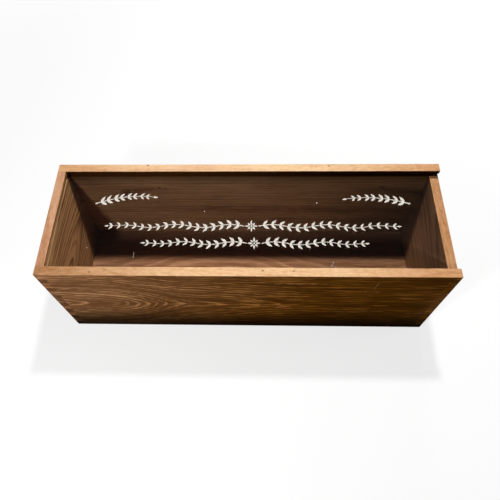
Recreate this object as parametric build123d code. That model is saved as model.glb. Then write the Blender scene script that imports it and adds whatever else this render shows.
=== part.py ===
from build123d import *
import os

# A wine box for one bottle. Four boards meet in finger joints at the corners. The bottom
# board sits in a groove near the base. A clear lid slides in a groove under the rim and
# leaves over the right end board, which is cut down to the groove's lower side.
#
# Millimetres. The origin is the middle of the box on the surface that it stands on:
# +X points to the end where the lid slides out, +Y to the rear, +Z up.

# ---- Driving dimensions ------------------------------------------------------------

LENGTH = 350.0  # outside, left to right
WIDTH = 114.0  # outside, front to rear
HEIGHT = 119.0  # outside, base to rim
SIDE_WALL = 8.0  # thickness of the front and rear boards
END_WALL = 7.5  # thickness of the left and right end boards
FINGER = 8.5  # height that each finger of the corner joints comes close to

LIP = 4.5  # wood above the lid groove, up to the rim
LID_THICKNESS = 4.0  # clear sheet
LID_GAP_BELOW = 0.3  # between the lid and the groove's lower side
LID_GAP_ABOVE = 0.7  # between the lid and the groove's upper side
LID_EDGE_GAP = 0.5  # between the lid's edges and the groove's back
LID_END_GAP = 1.0  # from the lid's right end to the outside of the right end board
LID_GROOVE_DEPTH = 4.0  # how far the lid groove goes into a board
LID_CORNER = 1.5  # radius of the lid's corners, seen from above

BOTTOM_RISE = 5.0  # from the base up to the bottom board
BOTTOM_THICKNESS = 4.0  # bottom board, which fills its groove's height
BOTTOM_GROOVE_DEPTH = 4.0  # how far the bottom groove goes into a board
BOTTOM_EDGE_GAP = 0.4  # room for the bottom board to swell in its groove

OVERCUT = 1.0  # how far a cut runs past an open end

# ---- Sizes worked out from them ----------------------------------------------------

half_length = LENGTH / 2
half_width = WIDTH / 2
inside_x = half_length - END_WALL
inside_y = half_width - SIDE_WALL

groove_top = HEIGHT - LIP
lid_seat = groove_top - LID_GAP_ABOVE - LID_THICKNESS - LID_GAP_BELOW

# The side boards hold the top finger, as deep as the lid needs. Below it, an odd number
# of equal fingers alternates, and the end boards hold the first and the last of them.
lower_fingers = 2 * max(1, round((lid_seat / FINGER - 1) / 2)) + 1
finger = lid_seat / lower_fingers
steps = [lid_seat - finger * i for i in range(lower_fingers + 1)]
end_fingers = [(steps[i + 1], steps[i]) for i in range(0, lower_fingers, 2)]
side_fingers = [(steps[i + 1], steps[i]) for i in range(1, lower_fingers, 2)]
side_fingers.append((lid_seat, HEIGHT))


def block(x, y, z):
    """A solid block between two limits along each axis."""
    size = [high - low for low, high in (x, y, z)]
    middle = [(high + low) / 2 for low, high in (x, y, z)]
    return Pos(*middle) * Box(*size)


# ---- Cuts shared by the boards -----------------------------------------------------


def lid_groove():
    """The groove under the rim: open at the right end, stopped inside the left board."""
    reach = inside_y + LID_GROOVE_DEPTH
    left = -inside_x - LID_GROOVE_DEPTH
    return block((left, half_length + OVERCUT), (-reach, reach), (lid_seat, groove_top))


def bottom_groove():
    """The groove that runs round all four boards near the base."""
    reach_x = inside_x + BOTTOM_GROOVE_DEPTH
    reach_y = inside_y + BOTTOM_GROOVE_DEPTH
    levels = (BOTTOM_RISE, BOTTOM_RISE + BOTTOM_THICKNESS)
    return block((-reach_x, reach_x), (-reach_y, reach_y), levels)


def corner_columns(levels):
    """The parts of the four corner posts that lie at the given levels."""
    cells = []
    for x in ((-half_length, -inside_x), (inside_x, half_length)):
        for y in ((-half_width, -inside_y), (inside_y, half_width)):
            cells += [block(x, y, level) for level in levels]
    return cells


# ---- Pieces ------------------------------------------------------------------------


def side_board(y):
    """Front or rear board: full length, notched where the end boards' fingers pass."""
    board = block((-half_length, half_length), y, (0, HEIGHT))
    board = board - corner_columns(end_fingers)
    return board - lid_groove() - bottom_groove()


def end_board(x, top):
    """Left or right end board: full width, notched where the side boards' fingers pass."""
    board = block(x, (-half_width, half_width), (0, top))
    board = board - corner_columns(side_fingers)
    return board - bottom_groove()


def bottom_board():
    """Bottom board, held by its four edges."""
    x = inside_x + BOTTOM_GROOVE_DEPTH - BOTTOM_EDGE_GAP
    y = inside_y + BOTTOM_GROOVE_DEPTH - BOTTOM_EDGE_GAP
    return block((-x, x), (-y, y), (BOTTOM_RISE, BOTTOM_RISE + BOTTOM_THICKNESS))


def lid():
    """Clear sliding lid, which ends just inside the right end board's outer face."""
    y = inside_y + LID_GROOVE_DEPTH - LID_EDGE_GAP
    left = -inside_x - LID_GROOVE_DEPTH + LID_EDGE_GAP
    right = half_length - LID_END_GAP
    low = lid_seat + LID_GAP_BELOW
    sheet = block((left, right), (-y, y), (low, low + LID_THICKNESS))
    return fillet(sheet.edges().filter_by(Axis.Z), LID_CORNER)


pieces = {
    "front_wall": side_board((-half_width, -inside_y)),
    "rear_wall": side_board((inside_y, half_width)),
    "left_end_wall": end_board((-half_length, -inside_x), HEIGHT) - lid_groove(),
    "right_end_wall": end_board((inside_x, half_length), lid_seat),
    "bottom_panel": bottom_board(),
    "sliding_lid": lid(),
}

os.makedirs("parts", exist_ok=True)
for name, piece in pieces.items():
    export_step(piece, f"parts/{name}.step")

print(f"{len(side_fingers)} fingers on a side board, {len(end_fingers)} on an end board")
print(f"finger {finger:.3f} mm, lid seat {lid_seat:.2f} mm above the base")
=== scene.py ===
import math

import bpy
import numpy as np
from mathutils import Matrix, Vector


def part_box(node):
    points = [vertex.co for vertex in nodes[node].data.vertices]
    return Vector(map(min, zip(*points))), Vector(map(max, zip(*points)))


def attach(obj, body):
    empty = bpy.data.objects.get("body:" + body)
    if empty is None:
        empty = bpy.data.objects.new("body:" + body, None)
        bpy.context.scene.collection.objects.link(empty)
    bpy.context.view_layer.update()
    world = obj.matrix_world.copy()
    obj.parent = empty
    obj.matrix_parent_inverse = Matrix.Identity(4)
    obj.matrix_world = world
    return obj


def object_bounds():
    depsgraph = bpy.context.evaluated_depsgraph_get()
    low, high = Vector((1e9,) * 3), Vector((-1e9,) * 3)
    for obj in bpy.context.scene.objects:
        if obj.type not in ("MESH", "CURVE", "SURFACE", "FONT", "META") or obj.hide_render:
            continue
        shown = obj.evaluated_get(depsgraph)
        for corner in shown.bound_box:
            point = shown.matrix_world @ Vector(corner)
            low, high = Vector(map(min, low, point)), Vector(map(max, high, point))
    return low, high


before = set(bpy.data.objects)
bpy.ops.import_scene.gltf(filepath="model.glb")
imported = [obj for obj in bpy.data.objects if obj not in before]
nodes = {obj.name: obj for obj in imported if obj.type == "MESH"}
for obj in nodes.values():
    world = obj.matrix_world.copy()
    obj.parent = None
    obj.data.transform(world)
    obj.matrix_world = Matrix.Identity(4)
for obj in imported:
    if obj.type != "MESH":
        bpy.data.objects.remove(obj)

# The looks of a wooden wine box: stained pine boards with bare rims, and a clear sliding
# lid with frosted ornament. Lengths are in millimetres, or in metres where a comment says
# so. The sizes of the pieces come from the frame.

MM = 0.001  # metres
cad_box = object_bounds()


def spot(node, corner):
    """The lowest (0) or highest (1) corner of a frame piece, in millimetres."""
    return [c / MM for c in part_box(node)[corner]]


RIM = spot("front_wall", 1)[2]  # height of the rim
SEAT = spot("right_end_wall", 1)[2]  # height of the lid groove's lower side
LID_TOP = spot("sliding_lid", 1)[2]
HALF_LENGTH, HALF_WIDTH = [c / MM for c in cad_box[1][:2]]
INSIDE_REAR = spot("rear_wall", 0)[1]
INSIDE_RIGHT = spot("right_end_wall", 0)[0]

# ---- Camera ----

PICTURE = 500.0  # pixels along each side
FOCAL_PIXELS = 484.9
MIDDLE_PIXEL = 239.15  # column that the camera points at
CAMERA_PLACE = (9.84, -224.3, 475.7)
TILT, SWING, ROLL = 28.20, 2.37, 1.36  # degrees, from straight down
SENSOR = 36.0
NEAREST = 0.01  # metres from the camera at which things begin to show


def make_camera():
    """Looks down into the box from the front, as the photograph does."""
    data = bpy.data.cameras.new("camera")
    data.sensor_width = SENSOR
    data.lens = FOCAL_PIXELS / PICTURE * SENSOR
    data.shift_x = 0.5 - MIDDLE_PIXEL / PICTURE
    data.clip_start = NEAREST
    camera = bpy.data.objects.new("camera", data)
    camera.location = Vector(CAMERA_PLACE) * MM
    camera.rotation_mode = "ZXY"
    camera.rotation_euler = [math.radians(a) for a in (TILT, SWING, ROLL)]
    bpy.context.collection.objects.link(camera)
    bpy.context.scene.camera = camera


# ---- Shader sums ----

SEED_SHIFT = (7.3, 3.1, 5.7)  # how far apart the patterns of two seeds are read


def paint(red, green, blue):
    """A colour given as the picture shows it, 0 to 255, as the linear colour that shaders
    take: the sRGB curve turned round."""
    shown = np.array([red, green, blue]) / 255.0
    linear = np.where(shown > 0.04045, ((shown + 0.055) / 1.055) ** 2.4, shown / 12.92)
    return (*linear.tolist(), 1.0)


def grey(level):
    return (level, level, level, 1.0)


WHITE = grey(1.0)


class Value:
    """What a socket gives, all over a surface. Its operators add the Math nodes they need."""

    def __init__(self, finish, socket):
        self.finish = finish
        self.socket = socket

    def math(self, operation, *terms):
        return self.finish.add("Math", {"operation": operation}, terms)

    def __add__(self, other):
        return self.math("ADD", self, other)

    def __mul__(self, other):
        return self.math("MULTIPLY", self, other)

    def __sub__(self, other):
        return self.math("SUBTRACT", self, other)

    def __rsub__(self, other):
        return self.math("SUBTRACT", other, self)

    def __truediv__(self, other):
        return self.math("DIVIDE", self, other)

    def __pow__(self, other):
        return self.math("POWER", self, other)

    def __abs__(self):
        return self.math("ABSOLUTE", self)

    def __neg__(self):
        return self * -1.0

    __radd__ = __add__
    __rmul__ = __mul__

    def root(self):
        return self.math("SQRT", self)

    def whole(self):
        return self.math("FLOOR", self)

    def least(self, other):
        return self.math("MINIMUM", self, other)

    def most(self, other):
        return self.math("MAXIMUM", self, other)

    def other(self, name):
        """Another output of the node that gives this one."""
        return Value(self.finish, self.socket.node.outputs[name])


class Finish:
    """A tree of shader nodes."""

    def __init__(self, tree):
        self.tree = tree
        self.tree.nodes.clear()

    def add(self, kind, settings=None, inputs=(), output=0):
        """Adds a node of any kind: its settings first, then the values or links of its sockets."""
        node = self.tree.nodes.new("ShaderNode" + kind)
        settings = dict(settings or {})
        stops = settings.pop("stops", None)
        for name, value in settings.items():
            setattr(node, name, value)
        if stops:
            elements = node.color_ramp.elements
            for _ in stops[2:]:
                elements.new(0.5)
            for element, (place, colour) in zip(elements, stops):
                element.position = place
                element.color = colour
        pairs = inputs.items() if isinstance(inputs, dict) else enumerate(inputs)
        for name, value in pairs:
            socket = node.inputs[name]
            if isinstance(value, Value):
                self.tree.links.new(value.socket, socket)
            else:
                socket.default_value = value
        if not node.outputs:
            return None
        return Value(self, node.outputs[output])

    def object_place(self):
        """The point's place in the box, in metres."""
        return self.add("TexCoord", output="Object")

    def facing(self):
        """The way that the surface faces."""
        return self.add("TexCoord", output="Normal")

    def millimetres(self, place):
        return self.add("VectorMath", {"operation": "SCALE"}, {0: place, "Scale": 1 / MM})

    def vector(self, x, y, z):
        return self.add("CombineXYZ", inputs=(x, y, z))

    def axes(self, vector, names="XYZ"):
        """A vector's parts, in the order of the names."""
        parts = self.add("SeparateXYZ", inputs=(vector,))
        return [parts.other(name) for name in names]

    def step(self, value, start, end):
        """Rises smoothly from 0 to 1 as value goes from start to end."""
        limits = {0: value, 1: start, 2: end}
        return self.add("MapRange", {"interpolation_type": "SMOOTHSTEP"}, limits)

    def fade(self, value, start, end):
        """Falls smoothly from 1 to 0 as value goes from start to end."""
        return 1 - self.step(value, start, end)

    def hump(self, value, start, end, edge):
        """1 between start and end, and 0 beyond, with smooth edges of that width."""
        return self.step(value, start - edge, start) - self.step(value, end, end + edge)

    def noise(self, place, size, detail=2.0, seed=0.0, rough=0.5):
        """Smooth noise about 0, mostly within -0.5 to 0.5. size is its grain along each axis."""
        scale = [1.0 / s for s in size]
        shift = [seed * s for s in SEED_SHIFT]
        place = self.add("VectorMath", {"operation": "MULTIPLY_ADD"}, (place, scale, shift))
        sums = {"Vector": place, "Scale": 1.0, "Detail": detail, "Roughness": rough}
        return (self.add("TexNoise", inputs=sums) - 0.5) * 2.0

    def chance(self, value):
        """A random number from 0 to 1 for each whole value."""
        return self.add("TexWhiteNoise", {"noise_dimensions": "1D"}, {"W": value})

    def between(self, share, first, second):
        """A number from first to second. These are a Mix node's sockets for numbers."""
        return self.add("Mix", inputs={0: share, 2: first, 3: second})

    def mix(self, share, first, second, blend="MIX"):
        """Two colours mixed: share is how much of the second shows. These are a Mix node's
        sockets for colours."""
        settings = {"data_type": "RGBA", "blend_type": blend}
        return self.add("Mix", settings, {0: share, 6: first, 7: second}, output=2)

    def tint(self, colour, factors):
        """A colour with its red, green and blue each multiplied by a factor."""
        return self.mix(1.0, colour, factors, "MULTIPLY")

    def shade(self, colour, factor):
        """A colour made darker or lighter by a factor that changes over the surface."""
        return self.tint(colour, self.vector(factor, factor, factor))

    def ramp(self, value, places, colours):
        """Colours that lie at places from 0 to 1 along a value."""
        return self.add("ValToRGB", {"stops": list(zip(places, colours))}, (value,))

    def surface(self, **sockets):
        """The Principled shader, with sockets named as in Blender but joined by underscores."""
        inputs = {name.replace("_", " "): value for name, value in sockets.items()}
        return self.add("BsdfPrincipled", inputs=inputs)

    def bump(self, height, distance, strength=1.0):
        sums = {"Height": height, "Distance": distance, "Strength": strength}
        return self.add("Bump", inputs=sums)

    def show(self, shader, kind="OutputMaterial"):
        self.add(kind, inputs={"Surface": shader})


def new_material(name):
    material = bpy.data.materials.new(name)
    material.use_nodes = True
    return material, Finish(material.node_tree)


# ---- Floor, backdrop and lamps ----

FLOOR_SIZE = 20.0  # metres
FLOOR_DROP = 0.05  # how far below the box it lies, so that the two don't touch
FLOOR_GREY = 0.03  # what the floor sends back onto the box
SHADOW_SHARE = 0.30  # how much of the floor's own light and shade shows on it
SHADOW_REACH = (0.30, 0.75)  # metres from the box at which the floor fades to plain white
ROOM_LIGHT = 0.02  # plain light from all round
CEILING = 0.035  # what the lid mirrors from above
CEILING_EDGE = (-0.1, 0.35)  # upward part of the direction in which the ceiling begins


def seen(f):
    """1 for what the camera sees, by itself or through the clear lid, and 0 for other light."""
    path = f.add("LightPath", output="Is Camera Ray")
    unmirrored = 1 - path.other("Glossy Depth").least(1.0)
    return path.most(path.other("Is Transmission Ray") * unmirrored)


def make_floor():
    """A pale floor. It shows the box's shadow, and fades to the white of the backdrop. From
    below it isn't seen, and the lamp under it shines through."""
    mesh = bpy.data.meshes.new("floor")
    half = FLOOR_SIZE / 2
    height = -FLOOR_DROP * MM
    corners = [(x * half, y * half, height) for x, y in ((-1, -1), (1, -1), (1, 1), (-1, 1))]
    mesh.from_pydata(corners, [], [(0, 1, 2, 3)])
    floor = bpy.data.objects.new("floor", mesh)
    bpy.context.collection.objects.link(floor)
    material, f = new_material("pale_floor")
    place = f.object_place()
    distance = f.add("VectorMath", {"operation": "LENGTH"}, (place,), output="Value")
    lit = f.add("BsdfDiffuse", inputs=(WHITE,))
    white = f.add("Emission", inputs=(WHITE,))
    shown = f.add("MixShader", inputs=(f.fade(distance, *SHADOW_REACH) * SHADOW_SHARE, white, lit))
    dim = f.add("BsdfDiffuse", inputs=(grey(FLOOR_GREY),))
    above = f.add("MixShader", inputs=(seen(f), dim, shown))
    below = f.add("NewGeometry", output="Backfacing")
    clear = below.most(f.add("LightPath", output="Is Shadow Ray"))
    f.show(f.add("MixShader", inputs=(clear, above, f.add("BsdfTransparent"))))
    mesh.materials.append(material)


def make_backdrop():
    """White wherever it is seen, dim above for mirrors, and a weak plain light on the box."""
    world = bpy.data.worlds.new("backdrop")
    bpy.context.scene.world = world
    world.use_nodes = True
    f = Finish(world.node_tree)
    up = f.axes(f.add("TexCoord", output="Generated"))[2]
    mirrored = f.add("LightPath", output="Is Glossy Ray")
    mirror_level = 1 - f.step(up, *CEILING_EDGE) * (1 - CEILING)
    level = f.between(seen(f), f.between(mirrored, ROOM_LIGHT, mirror_level), 1.0)
    f.show(f.add("Background", inputs=(WHITE, level)), "OutputWorld")


def make_lamp(name, place, aim, size, level):
    """A round softbox. level is how bright a white card facing it looks at the aim point. It
    lights the box but isn't seen as a disc, by itself, through the lid or mirrored in it."""
    data = bpy.data.lights.new(name, "AREA")
    data.shape = "DISK"
    data.size = size
    place, aim = Vector(place), Vector(aim)
    data.energy = level * math.pi ** 2 * (place - aim).length_squared
    lamp = bpy.data.objects.new(name, data)
    lamp.location = place
    lamp.rotation_euler = (aim - place).to_track_quat("-Z", "Y").to_euler()
    lamp.visible_camera = False
    lamp.visible_glossy = False
    lamp.visible_transmission = False
    bpy.context.collection.objects.link(lamp)


LAMPS = {
    # name: place, aim and size in metres, level
    "key": ((0.09, 0.29, 0.90), (0.0, 0.0, 0.119), 0.06, 0.84),
    "fill": ((-0.25, -0.36, 0.50), (0.0, 0.0, 0.119), 0.04, 0.36),
    "front": ((-0.35, -0.45, 0.16), (-0.13, -0.057, 0.08), 0.20, 0.64),
    "side": ((0.80, 0.05, 0.17), (0.175, 0.0, 0.08), 0.30, 0.50),
    "back": ((0.20, 0.85, 0.20), (0.0, 0.057, 0.06), 0.30, 0.55),
    "under": ((0.0, 0.0, -0.45), (0.0, 0.0, 0.0), 0.08, 0.50),
}

# ---- Wood: its colours ----

# In the names of the wood's values, an EDGE, FADE or WIDTH is a pair of values between which
# something comes in or ends, and a SHARE is how much of it shows. A stain and bare wood have a
# dark, a middle and a light colour, at these places of the tone.
STAIN_PLACES = (0.0, 0.45, 1.0)
BARE_PLACES = (0.0, 0.5, 1.0)
# The inner stains, here and in BOARDS, are lighter than the outer ones: painted light that makes up
# for the dim light inside the box.
INNER_STAIN = (paint(96, 62, 38), paint(146, 104, 70), paint(198, 150, 106))
SKIN_LEFT = (paint(96, 60, 37), paint(129, 88, 56), paint(206, 157, 113))
SKIN_RIGHT = (paint(72, 39, 4), paint(108, 66, 12), paint(172, 110, 42))
CREAM = (paint(202, 144, 94), paint(233, 188, 142), paint(248, 214, 168))
AMBER = (paint(168, 111, 68), paint(207, 152, 106), paint(230, 179, 130))

BLACKENED = paint(38, 26, 17)
SCORCHED = paint(104, 58, 34)
# Stained wood in painted shade under the rear board's lip.
LIP_STAIN_AND_SHADE = paint(32, 10, 2)
# Painted shade under the rim, from the left end to the right.
LIP_SHADE_LEFT = paint(86, 50, 20)
LIP_SHADE_RIGHT = paint(38, 12, 1)
END_BROWN = paint(72, 38, 22)
# Painted light on the right front corner.
CORNER_PAINTED_LIGHT = paint(190, 130, 80)
WORN_LIGHT = paint(170, 126, 88)
PINK = paint(218, 158, 128)
SPECK_BROWN = paint(128, 78, 46)
FLECK_ORANGE = paint(214, 138, 72)
DASH_LIGHT = paint(196, 142, 92)
SCRATCH_LIGHT = paint(190, 140, 96)
SEAT_LIGHT = paint(228, 190, 150)

# ---- Wood: its grain ----

# Kinds of unevenness, with their size along, across and through a board and what is added to
# the board's seed. A board may have its own size of streaks and dashes.
UNEVEN = {
    "wander": dict(size=(70, 22, 22), detail=1.0, seed=0),
    "ripple": dict(size=(14, 6, 6), seed=1),
    "fibre": dict(size=(14, 0.7, 0.7), detail=3.0, seed=2, rough=0.6),
    "streak": dict(size=(40, 1.6, 1.6), seed=3),
    "cloud": dict(size=(60, 26, 26), detail=3.0, seed=4),
    "pores": dict(size=(3, 0.3, 0.3), seed=5),
    "cast": dict(size=(45, 14, 14), seed=6),
    "blush": dict(size=(60, 40, 40), detail=1.0, seed=7),
    "specks": dict(size=(2.2, 0.7, 0.7), detail=1.0, seed=8),
    "breaks": dict(size=(11, 2.2, 2.2), seed=9),
    "dash": dict(size=(70, 2.0, 2.0), seed=10),
    "patch": dict(size=(5, 2.4, 2.4), detail=3.0, seed=11, rough=0.75),
    "ragged": dict(size=(6, 1.6, 1.6), seed=20),
    "gaps": dict(size=(5, 9, 9), detail=1.0, seed=21),
}

KNOT_STRETCH = 0.65  # a knot's width across the grain, as a share of its length
KNOT_REACH = 4.0  # how far a knot pushes the rings aside, in its own radii
KNOT_PUSH = 2.4  # how far at its middle, in the same
RING_COURSE = 0.9  # how fast the rings' widths change from one to the next
RING_SPREAD = 0.5  # how much they change, in rings
LATE_FULL = 0.84  # place within a ring, from 0 to 1, from which its late wood is full
LATE_END = (0.88, 1.0)  # and where it ends
FAINTEST_RING = 0.4
BREAK_EDGE = (-0.35, 0.25)  # for the breaks in the late wood's lines
CALM_RINGS = 0.6  # how much of the late wood is gone where a board is calm
DULL_STREAKS = 0.4  # how much of the streaks and dashes shows where it isn't lively
DASH_EDGE = (0.08, 0.40)  # for the dashes in the stain
MIDDLE_TONE = 0.45
LATE_MEAN = 0.25  # how much late wood leaves the tone as it is
FIBRE_TONE, CLOUD_TONE = 0.30, 0.22  # their parts in the tone
FACING_EDGE = (0.5, 0.8)  # part of its direction with which a face counts as turned one way


class Board:
    """What is known at a point of a board: its place, which way it faces and its grain.

    along, across and through are measured from the board's lowest corner, and x, y and
    height in the box. inward is the depth behind the board's outer face. buried is the
    distance to the nearest upright outer face of the box, and to_edge that to its nearest
    edge: the middle one of the distances to its faces along X, Y and Z.
    """

    def __init__(self, f, node, facts):
        self.f = f
        self.facts = facts
        place = f.object_place()
        low = list(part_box(node)[0])
        from_low = f.add("VectorMath", {"operation": "SUBTRACT"}, (place, low))
        self.along, self.across, self.through = f.axes(f.millimetres(from_low), facts["axes"])
        self.place = f.vector(self.along, self.across, self.through)
        self.x, self.y, self.height = f.axes(f.millimetres(place))

        facing = f.facing()
        self.end_grain = f.step(abs(f.axes(facing, facts["axes"])[0]), *FACING_EDGE)
        self.frontal = f.step(-f.axes(facing)[1], *FACING_EDGE)
        self.inward = abs(self.through - facts["outer"])
        to_end = HALF_LENGTH - abs(self.x)
        to_side = HALF_WIDTH - abs(self.y)
        self.buried = to_end.least(to_side)
        self.to_edge = to_end.most(to_side).least(self.buried.most(self.height))

        self.late = late_wood(self)
        self.fibre = self.uneven("fibre")
        self.streak = self.uneven("streak")
        self.cloud = self.uneven("cloud")
        self.tone = stain_tone(self)

    def uneven(self, name):
        """One kind of unevenness, as smooth noise about 0."""
        kind = dict(UNEVEN[name])
        kind["size"] = self.facts.get(name + "_size", kind["size"])
        kind["seed"] += self.facts["seed"]
        return self.f.noise(self.place, **kind)


def knot_distance(board, knot_along, knot_across, radius):
    """Distance from a knot, in its own radii, with the knot drawn out along the grain."""
    x = (board.along - knot_along) * (KNOT_STRETCH / radius)
    y = (board.across - knot_across) * (1.0 / radius)
    return (x * x + y * y).root()


def growth(board):
    """Distance from the tree's heart, in growth rings.

    The heart is a line beside the board, at height `middle`. Its depth behind the face
    changes along the board, so the rings come out as straight lines, arches or ovals on
    the faces and as arcs on the ends. A `tip` of 2 makes round arches, and a lower one
    makes them pointed. Knots push the rings aside.
    """
    facts = board.facts
    rises = (board.f.step(board.along, start, end) * rise for start, end, rise in facts["rises"])
    depth = sum(rises, facts["depth"]) + board.through * facts["lean"]
    side = board.across - facts["middle"] - board.along * facts["slant"]
    wander = board.uneven("wander") * facts["wander"]
    ripple = board.uneven("ripple") * facts["ripple"]
    tip = facts["tip"]
    distance = (depth ** tip + abs(side) ** tip) ** (1 / tip) + wander + ripple
    for knot in facts["knots"]:
        radius = knot[-1]
        near = 1 - knot_distance(board, *knot) / KNOT_REACH
        distance = distance + near.most(0.0) ** 2.0 * (radius * KNOT_PUSH)
    return distance / facts["pitch"]


def late_wood(board):
    """The late wood of each ring: it builds up slowly and ends at a sharp edge. It is
    stronger in some rings than in others, broken along the grain, and fainter where the
    board is calm."""
    f, facts = board.f, board.facts
    rings = growth(board)
    course = f.vector(rings * RING_COURSE, facts["seed"], 0.0)
    rings = rings + f.noise(course, (1, 1, 1), 0.0) * RING_SPREAD
    ring = rings.whole()
    within = rings - ring
    line = f.step(within, facts["line_start"], LATE_FULL) - f.step(within, *LATE_END)
    strength = FAINTEST_RING + f.chance(ring) * (1 - FAINTEST_RING)
    unbroken = f.step(board.uneven("breaks"), *BREAK_EDGE)
    shown = unbroken * facts["broken"] + 1 - facts["broken"]
    return line * strength * shown * (1 - f.step(board.along, *facts["calm"]) * CALM_RINGS)


def stain_tone(board):
    """How dark (0) or light (1) the stain is: late wood, fibre, streaks, dashes and clouds."""
    f, facts = board.f, board.facts
    dash = f.step(board.uneven("dash"), *DASH_EDGE)
    lively = DULL_STREAKS + f.step(board.along, *facts["lively"]) * (1 - DULL_STREAKS)
    lines = board.streak * facts["streak"] + dash * facts["dash"]
    late = (board.late - LATE_MEAN) * facts["line"]
    tone = MIDDLE_TONE + late + board.fibre * FIBRE_TONE
    return tone + lines * lively + board.cloud * CLOUD_TONE


# ---- Wood: stained, with painted light and shade ----

INNER_EDGE = (3.5, 6.0)  # depths behind the outer face over which the inner side begins
SHADE_FOOT = 12.5  # where the rear board's shadow would end on the ground, from the middle
SHADE_SLOPE = 0.307  # how far it moves to the rear for each millimetre upwards
SHADE_TOP = RIM + 1.0  # height at which its edge would be sharp
PENUMBRA = 0.07  # half the width of that edge, as a share of the distance to SHADE_TOP
LIP_SHADE_EDGE = (SEAT - 1.6, SEAT + 0.2)  # heights over which the painted shade under the rim begins
LIP_SHADE_FADE = (-60, 120)  # places along the box between which it changes
GROOVE = (SEAT - 0.5, RIM - 4.6, 0.5)  # heights of the lid groove's back, where that painted shade gets painted light, and its soft edge

SKIN_FADE = (-190, 95)  # places along the box between which the outer stain changes
SKIN_DRIFT = 45  # how much further to the left that is at the foot
DRIFT_FADE = (30, 85)  # heights over which the drift ends
SKIN_EDGE = (1.5, 3.0)  # how deep the outer stain goes
BEVEL_EDGE = (0.6, 1.0)  # how deep it goes into the joints' eased edges
FOOT_FADE = (-14, 54)  # heights over which the painted shade at the foot clears
FOOT_PAINTED_SHADE = 0.45  # how much darker the painted shade makes the foot
FOOT_FRONT = 0.5  # and how much more so on the front
CORNER_FADE = (156, 174)  # places along the box from which the right corner gets painted light
CORNER_HEIGHTS = (25, 78, 15)  # between which, and the soft edge
CORNER_EDGE = (-0.25, 0.25)  # for the streaks in it
CORNER_SHARE = 0.34


def inner_stain_and_painted_light(board):
    """The stain inside the box, with a painted shadow where the rear board's shadow falls, and
    nearly black painted shade under the rim, lightened on the lid groove's back as painted light.
    The shadow's edge leans to the rear, and is sharper higher up."""
    f, facts = board.f, board.facts
    colour = f.ramp(board.tone, STAIN_PLACES, facts["stain"])
    if "far_stain" in facts:
        far = f.ramp(board.tone, STAIN_PLACES, facts["far_stain"])
        colour = f.mix(f.step(board.x, *facts["far_from"]), colour, far)
    beyond = (board.y - board.height * SHADE_SLOPE - SHADE_FOOT) / (SHADE_TOP - board.height)
    shaded = f.step(beyond, -PENUMBRA, PENUMBRA) * f.step(board.inward, *INNER_EDGE)
    shade = shaded * facts["shade"]
    colour = f.shade(f.mix(shade, colour, facts["stain"][1]), 1 - shade)
    # Painted shade under the rim, lightened on the groove's back as painted light.
    lip_shade = f.mix(f.step(board.x, *LIP_SHADE_FADE), LIP_SHADE_LEFT, LIP_SHADE_RIGHT)
    lip_shade = f.shade(lip_shade, 1 + f.hump(board.height, *GROOVE) * facts["groove"])
    colour = f.mix(f.step(board.height, *LIP_SHADE_EDGE) * facts["lip_shade_share"], colour, lip_shade)
    return facts["inner_marks_and_painted_light"](board, colour)


def outer_stain_and_painted_light(board):
    """The stain outside: brown on the left, olive brown on the right and darker on end grain, with
    painted shade towards the foot and painted light at the right front corner."""
    f, facts = board.f, board.facts
    olive = f.step(board.x + f.fade(board.height, *DRIFT_FADE) * SKIN_DRIFT, *SKIN_FADE)
    left = f.ramp(board.tone, STAIN_PLACES, SKIN_LEFT)
    right = f.ramp(board.tone, STAIN_PLACES, SKIN_RIGHT)
    colour = facts["outer_marks"](board, f.mix(olive, left, right))
    colour = f.mix(board.end_grain * facts["end"], colour, END_BROWN)
    # Painted light on the right front corner, in streaks.
    corner = f.step(board.x, *CORNER_FADE) * f.hump(board.height, *CORNER_HEIGHTS) * board.frontal
    corner = corner * f.step(board.streak, *CORNER_EDGE) * CORNER_SHARE
    colour = f.mix(corner, colour, CORNER_PAINTED_LIGHT)
    # Painted shade towards the foot, stronger on the front.
    clear = f.step(board.height, *FOOT_FADE)
    foot = (1 - clear * clear) * (board.frontal * FOOT_FRONT + FOOT_PAINTED_SHADE)
    return f.shade(colour, 1 - foot)


def on_outside(board):
    """1 on the outer face, the end grain and the joints' eased edges, and 0 further in."""
    f = board.f
    skin = f.fade(board.inward, *SKIN_EDGE)
    return skin.most(board.end_grain).most(f.fade(board.buried, *BEVEL_EDGE))


# ---- Wood: bare ----

AMBER_FADE = (60, 172)  # distances from the middle over which the cream turns to amber
AMBER_CORNER = (30, 165)  # the same to the left on the front board, which is darker there
CORNER_DARK = 0.26
BARE_TONE = 0.55
FIBRE_BARE, LATE_BARE, CAST_BARE, PATCH_BARE = 0.45, 0.30, 0.30, 0.55  # their parts in it
BLUSH_EDGE = (0.0, 0.5)
BLUSH_PATCHES = 0.5  # how much the patches shape it
BLUSH_SHARE = 0.3
SPECK_EDGE = (0.50, 0.62)
SPECK_SHARE = 0.5
PIN_STRETCH = 0.7  # a pin knot's width across the grain, as a share of its length
PIN_CORE = 0.4  # share of its radius that is fully dark
PIN_SHARE = 0.7
BARE_EDGE = (-0.55, -0.30)  # heights against the top over which the bare wood begins
BLEED = dict(size=(7, 1.6, 1.6), seed=9.0)  # how the stain's edge strays
BLEED_DEPTH = 0.35  # how far
COVER_EDGE = 0.3  # half the width over which the bare wood ends sideways
COVER_SHARE = 0.9  # how dark it is where another board covers it: stained wood in painted shade


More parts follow.
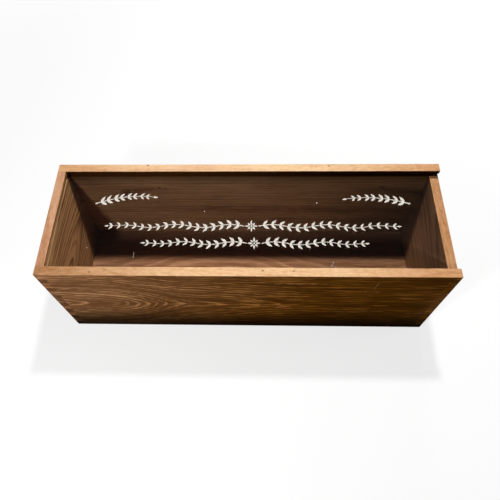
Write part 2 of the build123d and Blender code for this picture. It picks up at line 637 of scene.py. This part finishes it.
def bare_wood(board):
    """Sanded pine: cream in the middle of the box, amber towards its ends and towards the
    front left corner, with faint rings, a pink cast here and there, specks and pin knots."""
    f, facts = board.f, board.facts
    front = f.step(-board.y, INSIDE_REAR - 1, INSIDE_REAR + 1)
    corner = f.step(-board.x, *AMBER_CORNER) * front
    ends = f.step(abs(board.x), *AMBER_FADE).most(corner)
    patch = board.uneven("patch")
    tone = BARE_TONE + board.fibre * FIBRE_BARE - board.late * LATE_BARE
    tone = tone + board.uneven("cast") * CAST_BARE + patch * PATCH_BARE
    cream = f.ramp(tone, BARE_PLACES, CREAM)
    colour = f.mix(ends, cream, f.ramp(tone, BARE_PLACES, AMBER))
    blush = f.step(board.uneven("blush") + patch * BLUSH_PATCHES, *BLUSH_EDGE)
    colour = f.mix(blush * BLUSH_SHARE, colour, PINK)
    speck = f.step(board.uneven("specks"), *SPECK_EDGE)
    colour = f.mix(speck * SPECK_SHARE, colour, SPECK_BROWN)
    for pin_x, pin_y, radius in facts["pins"]:
        away = (((board.x - pin_x) * PIN_STRETCH) ** 2.0 + (board.y - pin_y) ** 2.0).root()
        pin = f.fade(away, radius * PIN_CORE, radius)
        colour = f.mix(pin * PIN_SHARE, colour, SCORCHED)
    return f.tint(f.shade(colour, 1 - corner * CORNER_DARK), facts["bare_tint"])


def sanded(board):
    """1 where the board's top was sanded after staining, and 0 elsewhere. The stain's edge
    strays a little. The second value is 1 where another board covers the top: stained wood that
    gets painted shade."""
    f, facts = board.f, board.facts
    level = board.height + f.noise(board.place, **BLEED) * BLEED_DEPTH
    bare = f.step(level, *(facts["top"] + edge for edge in BARE_EDGE))
    end = facts["bare_to"]
    covered = bare * f.step(abs(board.y), end - COVER_EDGE, end + COVER_EDGE)
    return bare - covered, covered


# ---- Wood: marks of each board ----


def no_marks(board, colour):
    return colour


# Light dashes where the stain took badly: start and end along the board, height, slope.
FRONT_DASHES = [
    (12, 36, 91, 0.00),
    (46, 76, 83, -0.02),
    (196, 248, 104, 0.01),
    (256, 276, 41, 0.02),
    (279, 304, 44, -0.03),
    (271, 300, 89, -0.03),
    (320, 352, 39, 0.02),
]
DASH_ENDS = (4, 6)  # how far inside its ends a dash is full, and over what length it fades
DASH_WIDTH = (0.2, 1.1)  # distances from its middle line over which it ends
GAP_EDGE = (-0.2, 0.2)  # for the gaps in it
DASH_SHARE = 0.5

# Orange flecks in the points of the arches: place of the point along the board and up it,
# and length.
FLECKS = [(157, 57, 9), (189, 55, 17), (216, 54, 12)]
FLECK_RAGGED = 6.0  # how far they stray
FLECK_OPENING = 0.22  # how far each side leaves the middle for each millimetre along
FLECK_WIDTH = (0.2, 1.9)
FLECK_ENDS = (1, 3)  # where it begins behind its point, and how soft its ends are
FLECK_SHARE = 0.55

SCRATCH = (285, 101)  # along the front board and up it
SCRATCH_LEAN = 0.12  # how far it leans to the right for each millimetre upwards
SCRATCH_WIDTH = (0.15, 0.6)
SCRATCH_HEIGHTS = (SCRATCH[1] - 4, SCRATCH[1] + 5, 3)
SCRATCH_SHARE = 0.5

# Fingers of the front board that took the stain otherwise: middle height, and brightness
# against the board beside them.
LEFT_FINGERS = [(96.9, 1.5), (63.2, 0.55), (46.3, 1.35), (29.5, 1.5), (12.6, 1.9)]
RIGHT_FINGERS = [(96.9, 1.5), (63.2, 1.35), (46.3, 2.1), (29.5, 1.8), (12.6, 3.0)]
FINGER_FADE = (3.6, 4.6)  # distance from a finger's middle height over which its tone ends
LEFT_FADE_OUT = (6.8, 7.8)  # places along the board where the fingers end
RIGHT_FADE_IN = (342.2, 343.2)


def front_marks(board, colour):
    """Orange flecks where the arches end, light dashes, a scratch and the fingers' tones.

    A fleck is a V that opens away from its point, and a dash a short line. Both fade with
    the distance from it.
    """
    f = board.f
    at_left = f.fade(board.along, *LEFT_FADE_OUT) * board.frontal
    at_right = f.step(board.along, *RIGHT_FADE_IN) * board.frontal
    for at_end, fingers in ((at_left, LEFT_FINGERS), (at_right, RIGHT_FINGERS)):
        for middle, level in fingers:
            finger = at_end * f.fade(abs(board.across - middle), *FINGER_FADE)
            colour = f.shade(colour, 1 + finger * (level - 1))

    ragged = board.uneven("ragged")
    begin, soft = FLECK_ENDS
    for point, height, length in FLECKS:
        back = point - board.along + ragged * FLECK_RAGGED
        off = abs(abs(board.across - height) - back * FLECK_OPENING)
        fleck = f.hump(back, begin, length, soft) * f.fade(off + ragged, *FLECK_WIDTH)
        colour = f.mix(fleck * FLECK_SHARE, colour, FLECK_ORANGE)

    gaps = f.step(board.uneven("gaps"), *GAP_EDGE)
    inside, soft = DASH_ENDS
    for start, end, height, slope in FRONT_DASHES:
        off = abs(board.across - height - (board.along - start) * slope)
        stretch = f.hump(board.along, start + inside, end - inside, soft)
        dash = stretch * f.fade(off, *DASH_WIDTH) * gaps
        colour = f.mix(dash * DASH_SHARE, colour, DASH_LIGHT)

    off = abs(board.along - SCRATCH[0] - (board.across - SCRATCH[1]) * SCRATCH_LEAN)
    scratch = f.fade(off, *SCRATCH_WIDTH) * f.hump(board.across, *SCRATCH_HEIGHTS)
    return f.mix(scratch * SCRATCH_SHARE, colour, SCRATCH_LIGHT)


# Painted shade on the rear board's inner face: where, and how much.
UNDER_RIM = (RIM - 30, RIM - 12)  # heights
UNDER_GROOVE = (SEAT - 9, SEAT - 3)
REAR_LEFT = (15, 95)  # places along the rear board
REAR_RIGHT = (235, 345)
REAR_LOW = (75, 110)  # heights
REAR_PAINTED_SHADE = (0.30, 0.40, 0.16, 0.60)  # how much darker the painted shade makes each of the places below


def rear_painted_shade(board, colour):
    """Painted shade: darker under the rim, close under the lid groove, at the left end and in the
    lower right corner."""
    f = board.f
    places = (
        f.step(board.height, *UNDER_RIM),
        f.step(board.height, *UNDER_GROOVE),
        f.fade(board.along, *REAR_LEFT),
        f.step(board.along, *REAR_RIGHT) * f.fade(board.height, *REAR_LOW),
    )
    return f.shade(colour, math.prod(1 - p * dark for p, dark in zip(places, REAR_PAINTED_SHADE)))


SEAT_LINE = (SEAT - 0.3, SEAT + 0.3, 0.2)  # heights, and the soft edge
SEAT_LINE_DEPTH = (6.3, 6.8, 0.25)  # the same through the left board
SEAT_SHARE = 0.6
LEFT_FADE = (5, 50)  # heights
LEFT_FOOT, LEFT_RISE = 0.77, 0.30  # brightness of the painted shade at the foot, and how much it grows


def left_seat_line_and_painted_shade(board, colour):
    """A thin pale line along the lid's seat, and painted shade at the foot."""
    f = board.f
    colour = f.shade(colour, LEFT_FOOT + f.step(board.height, *LEFT_FADE) * LEFT_RISE)
    line = f.hump(board.height, *SEAT_LINE) * f.hump(board.through, *SEAT_LINE_DEPTH)
    return f.mix(line * SEAT_SHARE, colour, SEAT_LIGHT)


# Painted light and shade on the right board's inner face.
RIGHT_REAR = (62, 100)  # places along the right board, from the front
RIGHT_REAR_PAINTED_SHADE = 0.22
RIGHT_FADE = (20, 100)  # heights
RIGHT_FOOT, RIGHT_FALL = 1.42, 0.50  # brightness at the foot, as painted light, and how much of it goes towards the rim, as painted shade
LOW_PAINTED_LIGHT = (1.50, 1.76, 1.78, 1.0)  # painted light for the part that the fill lamp doesn't reach
LOW_SLOPE = 0.82  # how far that part's edge moves to the front for each millimetre upwards
LOW_EDGE = (100, 111)  # places along the right board over which it ends, at the base


def right_painted_light_and_shade(board, colour):
    """Painted shade towards the rim and the rear. Low down at the front, where the front board
    keeps the fill lamp's light off, painted light: lighter and less red."""
    f = board.f
    rear = f.step(board.along, *RIGHT_REAR) * RIGHT_REAR_PAINTED_SHADE
    level = RIGHT_FOOT - f.step(board.height, *RIGHT_FADE) * RIGHT_FALL
    colour = f.shade(colour, level * (1 - rear))
    low = f.fade(board.along + board.height * LOW_SLOPE, *LOW_EDGE)
    return f.mix(low, colour, f.tint(colour, LOW_PAINTED_LIGHT))


BOTTOM_MIDDLE = (90, 215, 50)  # places along the bottom board, and the soft edge
BOTTOM_ENDS, BOTTOM_RISE = 0.92, 0.36  # brightness at the ends, and how much it grows


def bottom_marks(board, colour):
    """Lighter in the middle."""
    f = board.f
    return f.shade(colour, BOTTOM_ENDS + f.hump(board.along, *BOTTOM_MIDDLE) * BOTTOM_RISE)


# ---- Wood: the boards ----

KNOT_EDGE = (0.75, 1.15)  # in the knot's radii
KNOT_SHARE = 0.55
WORN = (0.1, 0.5)  # distances from an edge that hands and shelves have rubbed
WORN_FIBRE, WORN_CLOUD = 0.5, 0.8  # how far fibre and clouds shift them
WORN_SHARE = 0.35
RELIEF_DEPTH = 0.16
RELIEF_STRENGTH = 0.55
LATE_RELIEF, FIBRE_RELIEF, PORE_RELIEF = 0.5, 0.35, 0.2  # shares of that depth
ROUGHNESS = 0.60
FIBRE_ROUGH, LATE_SMOOTH, BARE_ROUGH = 0.10, 0.06, 0.10
SHEEN = 0.12  # specular level


def wood(node, facts):
    """Stained pine, bare where it was sanded after staining."""
    material, f = new_material("stained_pine_" + node)
    board = Board(f, node, facts)
    colour = f.mix(on_outside(board), inner_stain_and_painted_light(board), outer_stain_and_painted_light(board))
    for knot in facts["knots"]:
        inside = f.fade(knot_distance(board, *knot), *KNOT_EDGE)
        colour = f.mix(inside * KNOT_SHARE, colour, BLACKENED)
    off = board.to_edge + board.fibre * WORN_FIBRE + board.cloud * WORN_CLOUD
    colour = f.mix(f.fade(off, *WORN) * WORN_SHARE, colour, WORN_LIGHT)
    bare, covered = sanded(board)
    # Painted shade on the stained top under the rear board's lip.
    colour = f.mix(covered * COVER_SHARE, colour, LIP_STAIN_AND_SHADE)
    colour = f.mix(bare, colour, bare_wood(board))

    late, fibre = board.late, board.fibre
    relief = late * LATE_RELIEF + fibre * FIBRE_RELIEF + board.uneven("pores") * PORE_RELIEF
    rough = ROUGHNESS + fibre * FIBRE_ROUGH - late * LATE_SMOOTH + bare * BARE_ROUGH
    normal = f.bump(relief, RELIEF_DEPTH * MM, RELIEF_STRENGTH)
    f.show(f.surface(Base_Color=colour, Roughness=rough, Normal=normal, Specular_IOR_Level=SHEEN))
    return material


# What each board is like. Places are measured from its lowest corner, but pins, far_from and
# bare_to from the middle of the box.
#   axes: which of X, Y and Z run along, across and through it
#   outer: where its outer face is, and for the thin bottom board a place below that, so that
#       its upper side counts as inner all through
#   middle, slant, depth, rises, lean, tip, pitch: the tree's heart and rings, as in growth(),
#       where each of the rises is a stretch's start and end, and the change of depth over it
#   wander, ripple: how far the rings stray; broken: how much their lines are interrupted
#   line_start: where in a ring its late wood begins
#   line: how much lighter, or below 0 darker, it makes the stain
#   streak, dash: how strong these are; calm, lively: where rings fade and streaks grow
#   knots: place along and across, radius; pins: the same for pin knots in the bare wood
#   stain, far_stain, far_from: the inner side's colours, lighter than outside as painted light, and
#       where the far ones take over
#   shade, lip_shade_share, groove, end: how much the rear board's painted shadow, the
#       painted shade under the rim, the painted light on the groove's back and the end grain's
#       brown show
#   top, bare_to, bare_tint: where the bare wood is in height and ends sideways, and its tint
# calm and bare_to lie past every board's end in PLAIN, and lively lies before its start.
PLAIN = dict(
    tip=2.0, dash=0.15, knots=[], pins=[], calm=(900, 901), lively=(-2, -1), stain=INNER_STAIN,
    shade=0.0, lip_shade_share=0.0, groove=0.0, end=0.25, top=RIM, bare_to=1000.0, bare_tint=WHITE,
    inner_marks_and_painted_light=no_marks, outer_marks=no_marks,
)
BOARDS = {
    "front_wall": dict(
        PLAIN, axes="XZY", outer=0.0, seed=1.0, middle=59, slant=0.0, depth=2,
        rises=[(-60, 60, 13), (40, 130, 24), (125, 225, 10)], lean=1, pitch=3.5, tip=1.5,
        wander=2.0, ripple=1.4, broken=0.6, line_start=0.42, line=0.85, calm=(205, 250),
        streak=0.62, dash=0.66, streak_size=(32, 1.7, 1.7), dash_size=(32, 1.8, 1.8),
        lively=(90, 200), pins=[(-128.3, -54.0, 0.9), (14.9, -51.8, 1.0), (40.1, -52.1, 0.9)],
        lip_shade_share=0.9, outer_marks=front_marks,
    ),
    "rear_wall": dict(
        PLAIN, axes="XZY", outer=HALF_WIDTH - INSIDE_REAR, seed=2.0, middle=-55, slant=0.03,
        depth=34, rises=[(0, 340, 16)], lean=1, pitch=4.2, wander=2.0, ripple=0.6, broken=0.5,
        line_start=0.45, line=-0.40, streak=0.25, dash=0.08, knots=[(303, 93, 2.2)],
        pins=[(-91.5, 56.0, 1.2), (75.5, 54.7, 1.0)],
        stain=(paint(98, 70, 46), paint(150, 114, 82), paint(200, 160, 120)),
        # The far stain is partly uneven stain and partly painted shade where the fill lamp's light
        # falls off to the right.
        far_stain=(paint(78, 53, 30), paint(131, 97, 63), paint(170, 131, 93)),
        far_from=(-35, 155), lip_shade_share=0.98, groove=1.3, bare_tint=(1.03, 1.10, 1.16, 1.0),
        inner_marks_and_painted_light=rear_painted_shade,
    ),
    "left_end_wall": dict(
        PLAIN, axes="YZX", outer=0.0, seed=3.0, middle=63, slant=0.0, depth=3,
        rises=[(8, 108, 12)], lean=1, pitch=3.6, wander=1.5, ripple=0.6, broken=0.3,
        line_start=0.35, line=-0.80, streak=0.45, pins=[(-172.6, -50.6, 0.9)],
        stain=(paint(92, 60, 30), paint(176, 128, 84), paint(224, 176, 124)),
        shade=0.6, lip_shade_share=0.45, end=0.65, bare_tint=(0.90, 0.93, 1.10, 1.0),
        inner_marks_and_painted_light=left_seat_line_and_painted_shade,
    ),
    "right_end_wall": dict(
        PLAIN, axes="YZX", outer=HALF_LENGTH - INSIDE_RIGHT, seed=4.0, middle=105, slant=0.02,
        depth=38, rises=[(10, 110, 6)], lean=1, pitch=4.6, wander=1.6, ripple=0.4, broken=0.3,
        line_start=0.4, line=-0.50, streak=0.30,
        stain=(paint(84, 58, 38), paint(138, 103, 76), paint(180, 140, 108)),
        shade=0.6, end=0.1, top=SEAT, bare_to=INSIDE_REAR, bare_tint=grey(1.14),
        inner_marks_and_painted_light=right_painted_light_and_shade,
    ),
    "bottom_panel": dict(
        PLAIN, axes="XYZ", outer=-3.0, seed=5.0, middle=10, slant=0.0, depth=70,
        rises=[(0, 150, -40), (150, 260, 38)], lean=-1, pitch=8.0, wander=4.0, ripple=1.2,
        broken=0.5, line_start=0.3, line=0.42, streak=0.40,
        stain=(paint(108, 70, 48), paint(170, 120, 86), paint(222, 170, 130)),
        shade=0.62, inner_marks_and_painted_light=bottom_marks,
    ),
}


# ---- Lid: clear sheet ----

HAIRLINES = dict(size=(40, 0.6, 10), seed=3.0)  # scratches along the lid
HAIRLINE_EDGE = (0.35, 0.6)
CROSS_HAIRLINES = dict(size=(0.7, 50, 10), seed=5.0)
CROSS_EDGE = (0.40, 0.6)
HAIRLINE_DEPTH = 0.004
HAIRLINE_STRENGTH = 0.3
FLAT_EDGE = (0.3, 0.7)  # upright part of its direction with which a face counts as flat
SAWN = paint(120, 112, 100)
CLEAR = paint(253, 252, 249)
LET_THROUGH = (0.93, 0.93, 0.92, 1.0)  # share of the lamps' light
ACRYLIC_IOR = 1.49


def clear_sheet():
    """Clear acrylic: polished faces with faint hairline scratches, and sawn edges that let
    less light through. Lamps shine through it."""
    material, f = new_material("clear_sheet")
    place = f.millimetres(f.object_place())
    hairlines = f.step(f.noise(place, **HAIRLINES), *HAIRLINE_EDGE)
    hairlines = hairlines + f.step(f.noise(place, **CROSS_HAIRLINES), *CROSS_EDGE)
    normal = f.bump(hairlines, HAIRLINE_DEPTH * MM, HAIRLINE_STRENGTH)
    colour = f.mix(f.step(abs(f.axes(f.facing())[2]), *FLAT_EDGE), SAWN, CLEAR)
    glass = f.surface(
        Base_Color=colour, Roughness=0.0, IOR=ACRYLIC_IOR, Transmission_Weight=1.0, Normal=normal
    )
    clear = f.add("BsdfTransparent", inputs=(LET_THROUGH,))
    path = f.add("LightPath", output="Is Shadow Ray")
    f.show(f.add("MixShader", inputs=(path.most(path.other("Is Diffuse Ray")), glass, clear)))
    return material


# ---- Lid: frosted ornament ----

GRIT = dict(size=(0.9, 0.9, 0.9), seed=1.0)
GRIT_DEPTH = 0.05
FROST = (paint(206, 196, 184), paint(242, 236, 226))
FROST_ROUGHNESS = 0.7
GRIT_ROUGH = 0.1

# Places across a line from one edge to the other, and its heights there in crowns.
ROUND = (np.linspace(-1.0, 1.0, 5), [0.0, 0.75, 1.0, 0.75, 0.0])
VEINED = (np.array([-1.0, -0.6, -0.18, 0.0, 0.18, 0.6, 1.0]), [0.0, 0.8, 0.9, 0.1, 0.9, 0.8, 0.0])
CROWN = 0.10  # how high the ornament stands above the sheet
CROWN_FROM = 0.3  # half width from which a line stands that high
LEAF = 6.6  # a leaf's full length
LEAF_WIDTH = 0.40  # share of its length
LEAF_POINTS = 11
LEAF_TIP = 0.05  # half width of a leaf's tip and stalk
LEAF_FULLNESS = 0.8  # below 1, a leaf is fuller near its stalk
LEAF_BACK = 0.3  # radians that a leaf of a pair bends back
BERRY_POINTS = 9
BERRY_END = 0.98  # share of its radius at which a berry is cut off


def frosted():
    """Engraving: warm white and matt, a little uneven."""
    material, f = new_material("frosted_engraving")
    grit = f.noise(f.millimetres(f.object_place()), **GRIT)
    colour = f.ramp(grit + 0.5, (0.0, 1.0), FROST)
    rough = FROST_ROUGHNESS + grit * GRIT_ROUGH
    f.show(f.surface(Base_Color=colour, Roughness=rough, Normal=f.bump(grit, GRIT_DEPTH * MM)))
    return material


def stroke(path, half_width, section=ROUND):
    """A thin raised line drawn along a path on the lid.

    Across the path it is flat below and follows the section above, which gives places from
    edge to edge and heights. half_width is how wide it is at each point. Returns its points
    and its faces.
    """
    path = np.asarray(path, float)
    across, rise = section
    half_width = np.broadcast_to(half_width, len(path))
    way = np.gradient(path, axis=0)
    way /= np.linalg.norm(way, axis=1, keepdims=True)
    left = np.stack([-way[:, 1], way[:, 0]], axis=1)
    flat = path[:, None] + left[:, None] * (half_width[:, None] * across)[..., None]
    crown = CROWN * np.minimum(1.0, half_width / CROWN_FROM)
    height = LID_TOP + crown[:, None] * np.array(rise)
    points = np.concatenate([flat, height[..., None]], axis=2).reshape(-1, 3)
    count = len(across)
    first = np.arange(len(path) - 1)[:, None] * count
    side = np.arange(count)
    following = np.roll(side, -1)
    quads = [first + side, first + following, first + count + following, first + count + side]
    faces = np.stack(quads, axis=2).reshape(-1, 4).tolist()
    last = (len(path) - 1) * count
    return points, faces + [side[::-1].tolist(), (last + side).tolist()]


def angle_of(way):
    """The angle of a way on the lid, in radians from the box's length."""
    return math.atan2(way[1], way[0])


def leaf(start, angle, length, width, bend=0.0):
    """A pointed leaf: its width follows a half sine wave, fuller near the stalk, along a bent
    rib with a groove."""
    t = np.linspace(0.0, 1.0, LEAF_POINTS)
    heading = angle + bend * (t - 0.5)
    steps = np.stack([np.cos(heading), np.sin(heading)], axis=1) * length / (len(t) - 1)
    path = np.asarray(start) + np.cumsum(steps, axis=0) - steps[0]
    return stroke(path, LEAF_TIP + width / 2 * np.sin(math.pi * t ** LEAF_FULLNESS), VEINED)


def leaf_pair(start, angle, turn, length):
    """Two leaves that leave a stem at one point, a turn to each side of it, and bend back."""
    width = length * LEAF_WIDTH
    return [leaf(start, angle + s * turn, length, width, -s * LEAF_BACK) for s in (-1, 1)]


def berry(centre, radius):
    """A round dot: a short line whose half width follows a circle."""
    t = np.linspace(-BERRY_END, BERRY_END, BERRY_POINTS)
    path = np.asarray(centre) + np.stack([t * radius, t * 0.0], axis=1)
    return stroke(path, radius * np.sqrt(1 - t ** 2))


PETALS = 8
PETAL_LENGTHS = (0.68, 0.5)  # in leaves, by turns
PETAL_WIDTH = 0.26  # in leaves
PETAL_START = 1.3  # from the flower's middle
FLOWER_BERRY = 0.9
FLOWER_GAP = 0.95  # from the flower's middle to the stems, in leaves
TIP_GAP = 3.0  # from a stem's end to the garland's
STEM_ROOT, STEM_TAPER = 0.50, 0.22  # half width at its root, and how much of it goes
SWAY_END = 4  # a stem's swing fades over the last quarter of it
STEM_LEAF_TURN = 0.80  # radians between a stem and its leaves
STEM_LEAF_SHRINK = 0.35  # how much smaller the last ones are
FIRST_PAIR = 0.6  # place of the first pair of leaves, in spacings
AHEAD = 0.01  # share of a stem that its direction is taken over
TIP_LEAF, TIP_LEAF_WIDTH = 0.6, 0.25  # in leaves
TIP_LEAF_START = 0.4  # beyond the stem's end


def flower(centre):
    """A ring of leaves, long and short by turns, round a berry."""
    strokes = []
    for k in range(PETALS):
        angle = 2 * math.pi / PETALS * k
        start = centre + np.array([math.cos(angle), math.sin(angle)]) * PETAL_START
        strokes.append(leaf(start, angle, LEAF * PETAL_LENGTHS[k % 2], LEAF * PETAL_WIDTH))
    return strokes + [berry(centre, FLOWER_BERRY)]


def branch(root, tip, height, sway, waves, spacing):
    """Half a garland: a stem with pairs of leaves that shrink towards its tip. The stem is a
    sine wave whose swing fades at its tip."""
    reach = abs(tip - root)
    side = 1 if tip > root else -1
    gap = LEAF * FLOWER_GAP
    t = np.linspace(0.0, 1.0, int(reach))
    x = root + side * (gap + t * (reach - gap - TIP_GAP))
    y = height + sway * np.sin(2 * math.pi * waves * t) * np.minimum(1.0, SWAY_END * (1 - t))
    stem = np.stack([x, y], axis=1)
    strokes = [stroke(stem, STEM_ROOT - STEM_TAPER * t)]
    pairs = int(reach / spacing)
    for k in range(pairs):
        share = (k + FIRST_PAIR) / pairs
        at, ahead = (
            np.array([np.interp(s, t, x), np.interp(s, t, y)]) for s in (share, share + AHEAD)
        )
        length = LEAF * (1 - STEM_LEAF_SHRINK * share)
        strokes += leaf_pair(at, angle_of(ahead - at), STEM_LEAF_TURN, length)
    end = stem[-1] + np.array([side * TIP_LEAF_START, 0.0])
    return strokes + [leaf(end, angle_of((side, 0)), LEAF * TIP_LEAF, LEAF * TIP_LEAF_WIDTH)]


def garland(left, right, height, *wave):
    """Two branches that leave a flower in the middle, one to each side. The last values are
    their sway, waves and spacing."""
    middle = (left + right) / 2
    strokes = branch(middle, left, height, *wave) + branch(middle, right, height, *wave)
    return strokes + flower(np.array([middle, height]))


TWIG_POINTS = 40
TWIG_ROOT, TWIG_TAPER = 0.55, 0.3  # half width at its root, and how much of it goes
TWIG_BERRY = 1.0
TWIG_LEAF, TWIG_LEAF_SHRINK = 1.05, 0.45  # in leaves, and how much of it goes
TWIG_LEAF_TURN = 0.75  # radians between a twig and its leaves
FIRST_TWIG_PAIR = 0.7  # place of the first pair of leaves, in spacings
LAST_TWIG_PAIR = 0.4  # what is left beyond the last, in the same
END_LEAF, END_LEAF_WIDTH = 4.4, 1.9


def sprig(root, tip, leaves, bend):
    """A bent twig with pairs of leaves that shrink towards its tip, and a berry at its root.

    The twig is a quadratic curve between its ends, pulled sideways to a point that lies bend
    above the middle of the straight line.
    """
    root, tip = np.array(root), np.array(tip)
    t = np.linspace(0.0, 1.0, TWIG_POINTS)[:, None]
    pull = (root + tip) / 2 + np.array([0.0, bend])
    path = (1 - t) ** 2 * root + 2 * t * (1 - t) * pull + t ** 2 * tip
    strokes = [stroke(path, TWIG_ROOT - TWIG_TAPER * t[:, 0]), berry(root, TWIG_BERRY)]
    for k in range(leaves):
        share = (k + FIRST_TWIG_PAIR) / (leaves + LAST_TWIG_PAIR)
        index = int(share * (len(path) - 2))
        length = LEAF * (TWIG_LEAF - TWIG_LEAF_SHRINK * k / leaves)
        way = angle_of(path[index + 1] - path[index])
        strokes += leaf_pair(path[index], way, TWIG_LEAF_TURN, length)
    return strokes + [leaf(path[-1], angle_of(path[-1] - path[-2]), END_LEAF, END_LEAF_WIDTH)]


# Hairs and specks of dust that lie on the lid: place on it.
HAIRS = [((-95.6, -32.5), (-94.9, -38.2)), ((73.5, -41.0), (70.5, -46.5)), ((71, -44), (76, -46.5))]
HAIR_POINTS = 8
HALF_HAIR = 0.11  # half its width
HAIR_BEND = 0.5
SPECKS = [(-36.7, 8.5), (62.7, 17.6), (-136.1, -28.4)]
SPECK_RADIUS = 0.48


def dust():
    """Hairs bent as half a sine wave, and small specks."""
    strokes = [berry(place, SPECK_RADIUS) for place in SPECKS]
    for start, end in HAIRS:
        t = np.linspace(0.0, 1.0, HAIR_POINTS)[:, None]
        path = np.array(start) * (1 - t) + np.array(end) * t
        path[:, 0] += HAIR_BEND * np.sin(math.pi * t[:, 0])
        strokes.append(stroke(path, HALF_HAIR))
    return strokes


def make_ornament(name, strokes, material):
    """Joins strokes into one piece that rides on the lid."""
    points, faces, start = [], [], 0
    for stroke_points, stroke_faces in strokes:
        points.append(stroke_points)
        faces += [[start + corner for corner in face] for face in stroke_faces]
        start += len(stroke_points)
    mesh = bpy.data.meshes.new(name)
    mesh.from_pydata((np.concatenate(points) * MM).tolist(), [], faces)
    mesh.polygons.foreach_set("use_smooth", [True] * len(mesh.polygons))
    mesh.materials.append(material)
    piece = bpy.data.objects.new(name, mesh)
    bpy.context.collection.objects.link(piece)
    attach(piece, "lid")


SPRIGS = {
    # name: root and tip on the lid, pairs of leaves, bend
    "engraved_sprig_left": ((-135, 17), (-84, 24), 8, 7),
    "engraved_sprig_right": ((144, 17), (90, 22), 8, 7),
}
GARLANDS = {
    # name: left end, right end and height on the lid, sway, waves, spacing of the leaves
    "engraved_garland_upper": (-123, 133, -6.5, 1.6, 2.5, 7.4),
    "engraved_garland_lower": (-89, 104, -23.5, 1.4, 2.0, 7.2),
}


def make_ornaments():
    """Leaf ornament on the lid, in two rows and two corners, and some dust."""
    white = frosted()
    for name, shape in SPRIGS.items():
        make_ornament(name, sprig(*shape), white)
    for name, shape in GARLANDS.items():
        make_ornament(name, garland(*shape), white)
    make_ornament("dust_on_lid", dust(), white)


# ---- Putting it together ----

EDGE = 0.3  # how far sanding took the wood's corners off
SHEET_EDGE = 0.05  # the same for the lid
WELD = 0.01  # corners of the frame's triangles that are closer than this are one
SHARP = 40  # degrees between two faces from which their edge is eased


def ease_edges(piece, width):
    """Joins the loose triangles and takes the sharp corners off."""
    weld = piece.modifiers.new("weld", "WELD")
    weld.merge_threshold = WELD * MM
    bevel = piece.modifiers.new("eased", "BEVEL")
    bevel.width = width * MM
    bevel.segments = 2
    bevel.limit_method = "ANGLE"
    bevel.angle_limit = math.radians(SHARP)
    bevel.harden_normals = False


make_camera()
bpy.context.scene.view_settings.view_transform = "Standard"
make_floor()
make_backdrop()
for lamp_name, lamp in LAMPS.items():
    make_lamp(lamp_name, *lamp)

for board_name, board_facts in BOARDS.items():
    nodes[board_name].material_slots[0].material = wood(board_name, board_facts)
    ease_edges(nodes[board_name], EDGE)
nodes["sliding_lid"].material_slots[0].material = clear_sheet()
ease_edges(nodes["sliding_lid"], SHEET_EDGE)
make_ornaments()
